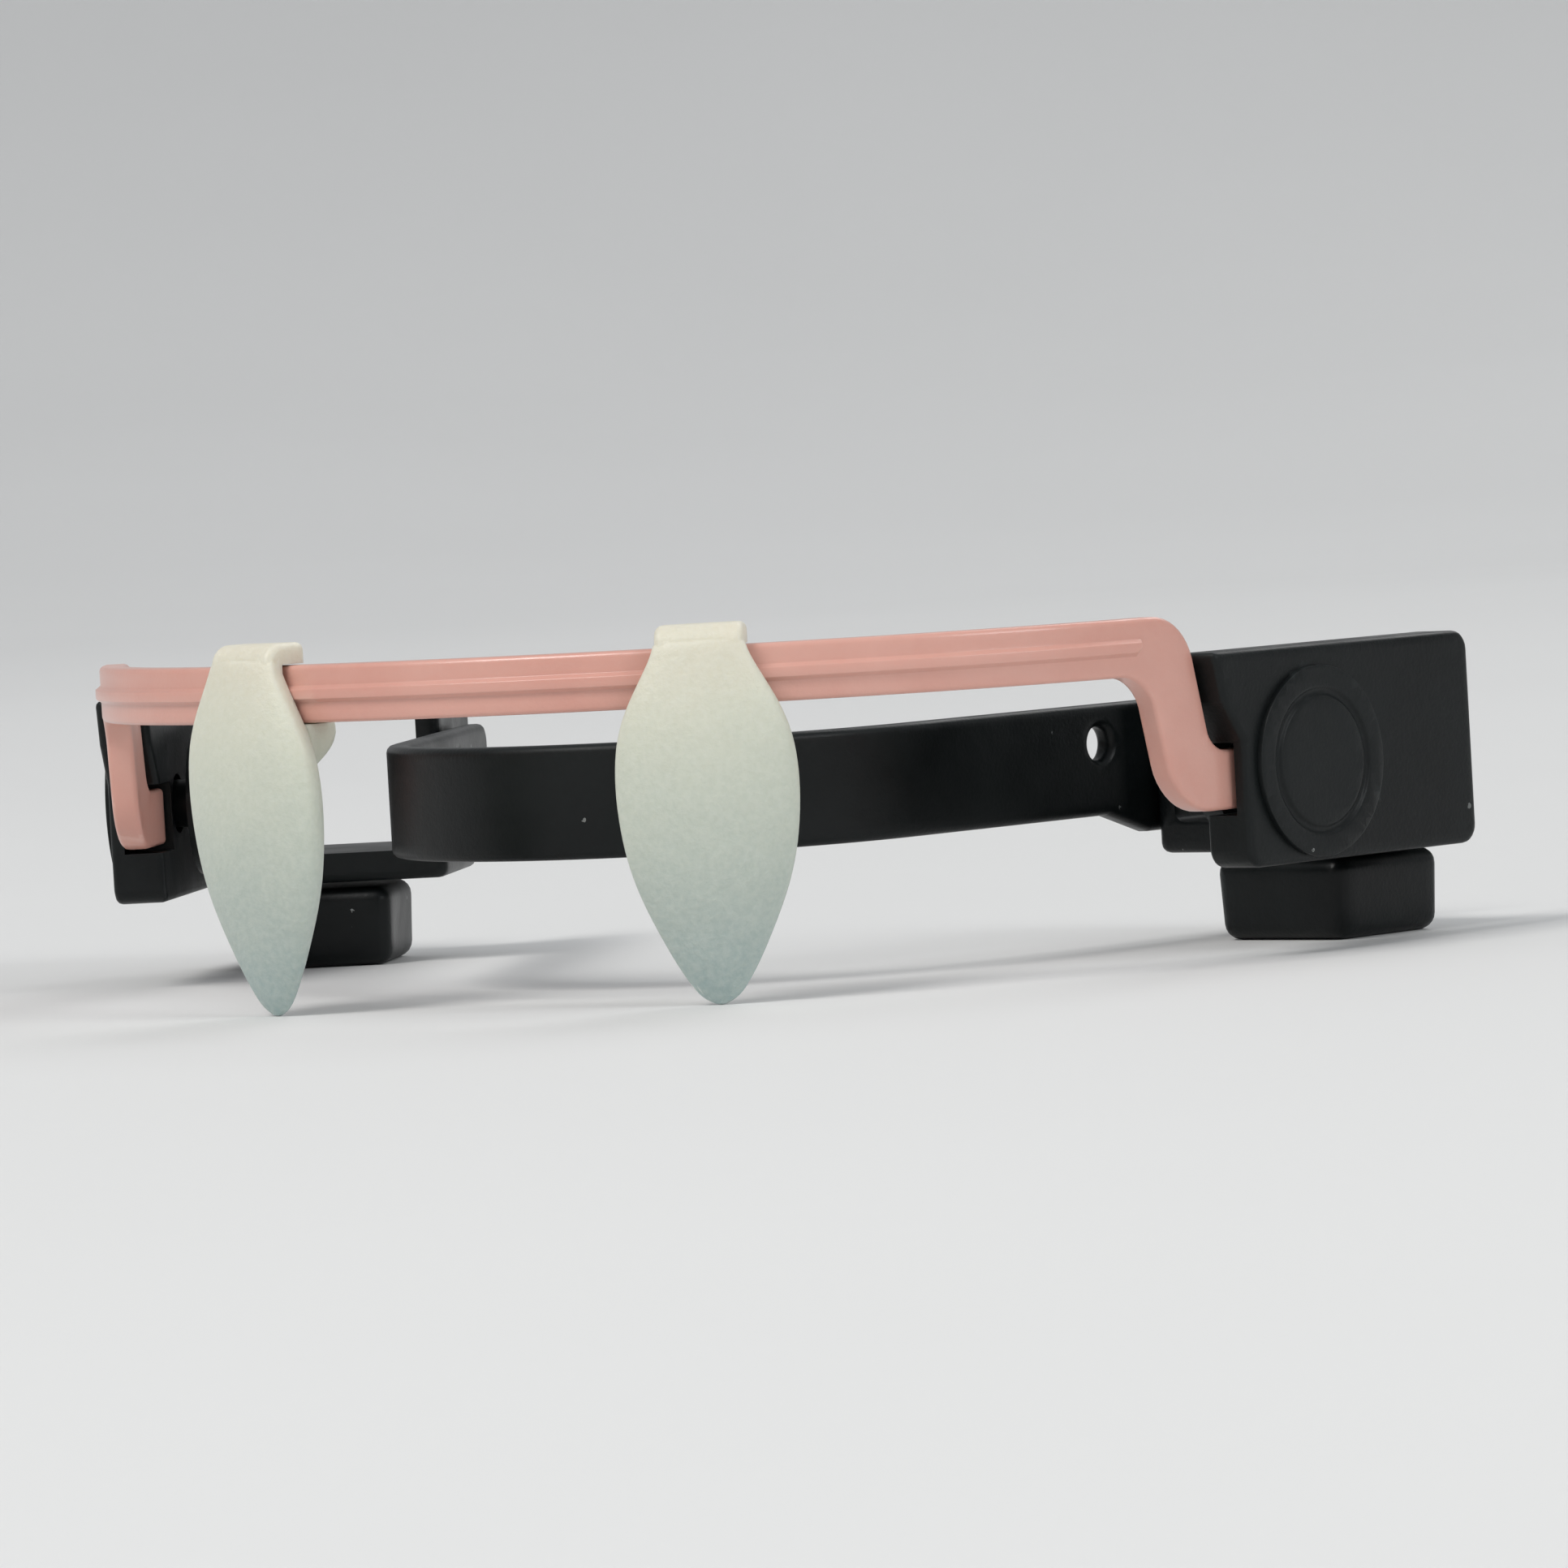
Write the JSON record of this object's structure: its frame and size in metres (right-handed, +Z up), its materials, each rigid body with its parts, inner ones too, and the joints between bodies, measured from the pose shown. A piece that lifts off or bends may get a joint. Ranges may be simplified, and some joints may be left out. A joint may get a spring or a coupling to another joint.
{
  "type": "vampire fang denture",
  "caption": "Retractable vampire fangs: ivory fangs on an arched pink bar that lifts on levers hinged to a black molar mouthpiece.",
  "frame": {"origin": "under the middle of the part, on the surface where the fang tips and bite pads rest", "axes": "+X to the viewer's right as the wearer faces the viewer, -Y to the front, +Z up"},
  "size_m": [0.071, 0.0454, 0.0174],
  "materials": {
    "salmon_acrylic": "salmon pink moulded acrylic, glossy, with a raised central rib",
    "ivory_plastic": "milky ivory plastic with a fine satin grain, cooler towards the tips",
    "black_plastic": "black moulded plastic, satin, with faint dust specks"
  },
  "bodies": {
    "mouthpiece": {"lingual_band": "black_plastic", "molar_tray_left": "black_plastic", "molar_tray_right": "black_plastic", "bite_pad_left": "black_plastic", "bite_pad_right": "black_plastic", "hinge_pin_left": "black_plastic", "hinge_pin_right": "black_plastic"},
    "fang_carrier": {"front_bar": "salmon_acrylic", "fang_left": "ivory_plastic", "fang_right": "ivory_plastic", "lever_left": "black_plastic", "lever_right": "black_plastic"}
  },
  "joints": [
    {"name": "fang_lift", "type": "hinge", "parent": "mouthpiece", "child": "fang_carrier", "pos_m": [0, 0.00384, 0.009], "axis": [-1, 0, 0], "range_deg": [0, 24], "stiffness_Nm_per_rad": 0.01, "springref_deg": -17.19}
  ]
}
